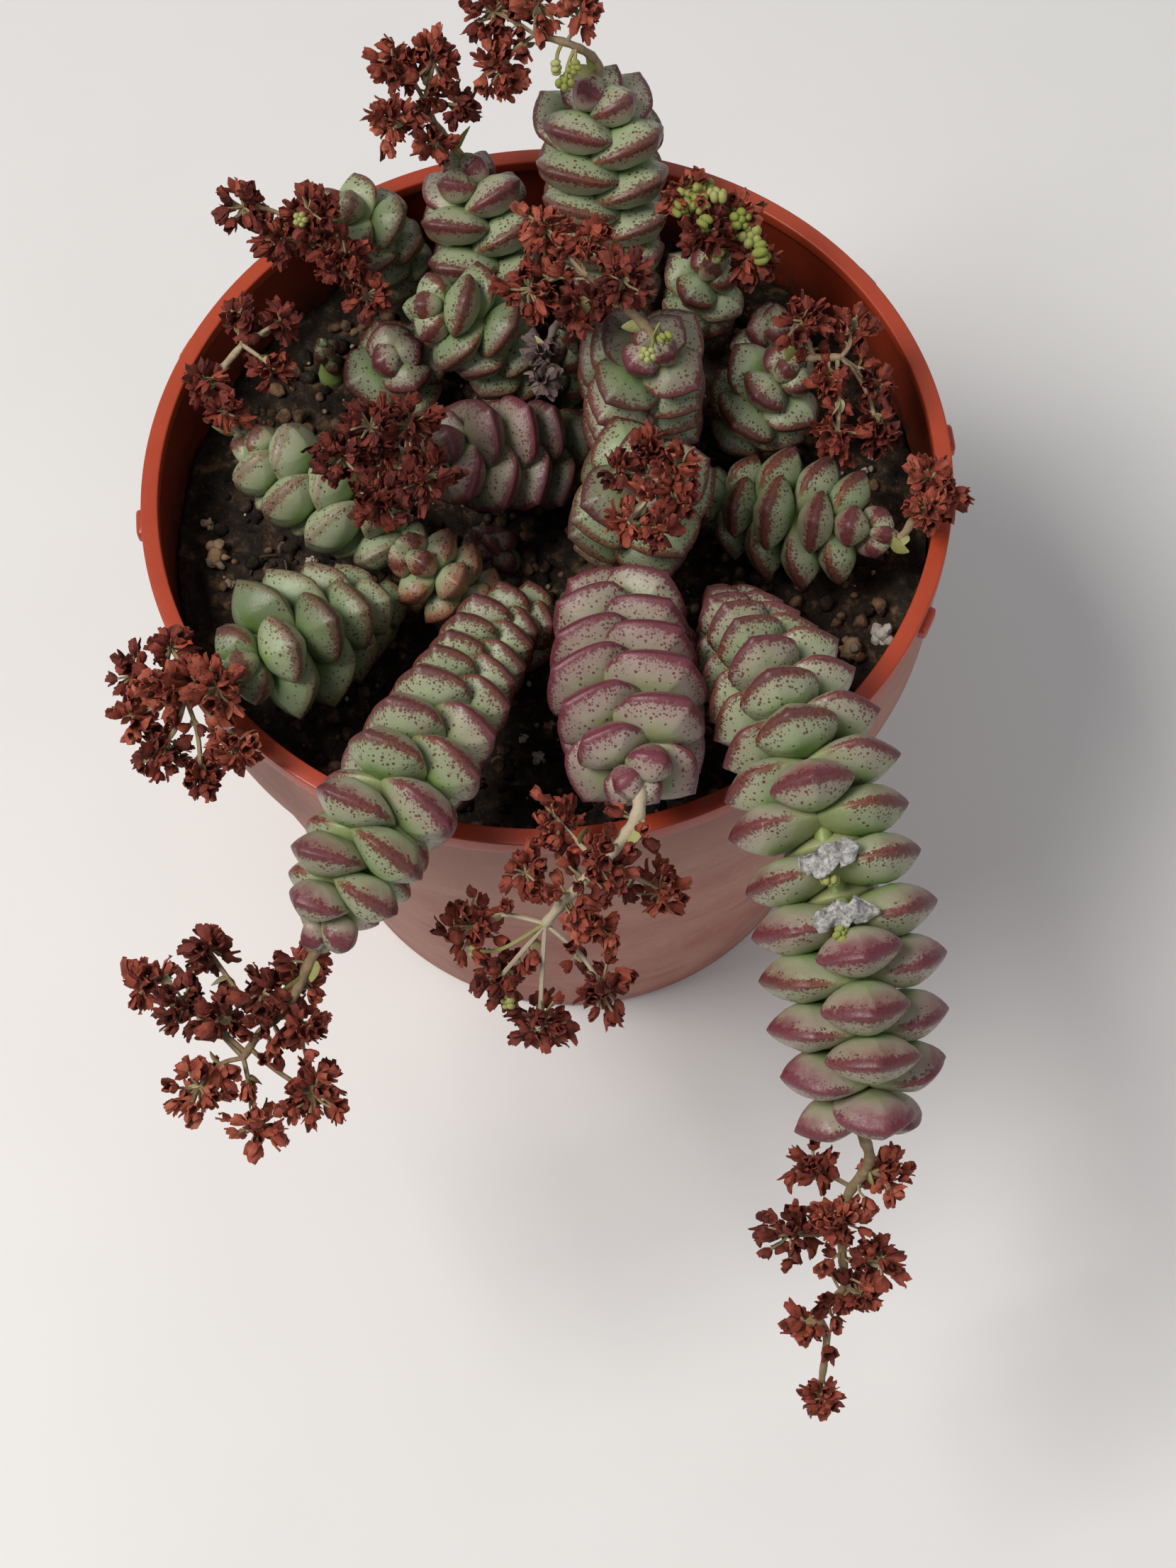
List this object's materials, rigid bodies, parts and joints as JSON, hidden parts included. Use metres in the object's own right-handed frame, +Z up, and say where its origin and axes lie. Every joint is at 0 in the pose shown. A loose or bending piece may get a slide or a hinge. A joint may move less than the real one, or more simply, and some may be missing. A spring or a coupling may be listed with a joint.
{
  "type": "potted crassula",
  "caption": "Stacked-leaf crassula with thick square stems and dried flower heads, in a round tapered plastic nursery pot.",
  "frame": {"origin": "centre of the pot's flat base, at the height it stands on", "axes": "+Z up along the pot's axis; -Y is the front, the side that the two long stems hang over; +X is to the right seen from the front"},
  "size_m": [0.1244, 0.1929, 0.1515],
  "materials": {
    "leaf": "plump green leaves with a waxy bloom, purple-red margins and fine dark speckles",
    "dried_floret": "dry brick-red and brown petals on pale tan stalks",
    "pot_plastic": "terracotta-coloured plastic, bleached outside by the sun, redder at the lip and inside",
    "soil": "dark lumpy potting soil with a few pale pumice grains"
  },
  "bodies": {
    "root": {"pot": "pot_plastic", "soil": "soil", "stem_tall_back": "leaf", "stem_back_left": "leaf", "stem_left_back": "leaf", "stem_left_rosette": "leaf", "stem_left_inner": "leaf", "stem_pale_tip": "leaf", "stem_purple_left": "leaf", "stem_left_green": "leaf", "stem_left_low": "leaf", "stem_thin_chain": "leaf", "stem_front_left": "leaf", "stem_front_arch": "leaf", "stem_centre": "leaf", "stem_centre_back": "leaf", "stem_right_back": "leaf", "stem_right_cluster": "leaf", "stem_right_upper": "leaf", "stem_right_low": "leaf", "stem_front_trailing": "leaf", "stem_small_dark": "leaf", "plantlet_left": "leaf", "flowers_tall_back": "dried_floret", "flowers_back_left": "dried_floret", "flowers_left_back": "dried_floret", "flowers_left": "dried_floret", "flowers_purple_left": "dried_floret", "flowers_left_low": "dried_floret", "flowers_front_left": "dried_floret", "flowers_front_arch": "dried_floret", "flowers_centre": "dried_floret", "flowers_centre_back": "dried_floret", "flowers_right_back": "dried_floret", "flowers_right_cluster": "dried_floret", "flowers_right_low": "dried_floret", "flowers_trailing": "dried_floret", "flowers_pale_tip": "dried_floret"}
  },
  "joints": []
}
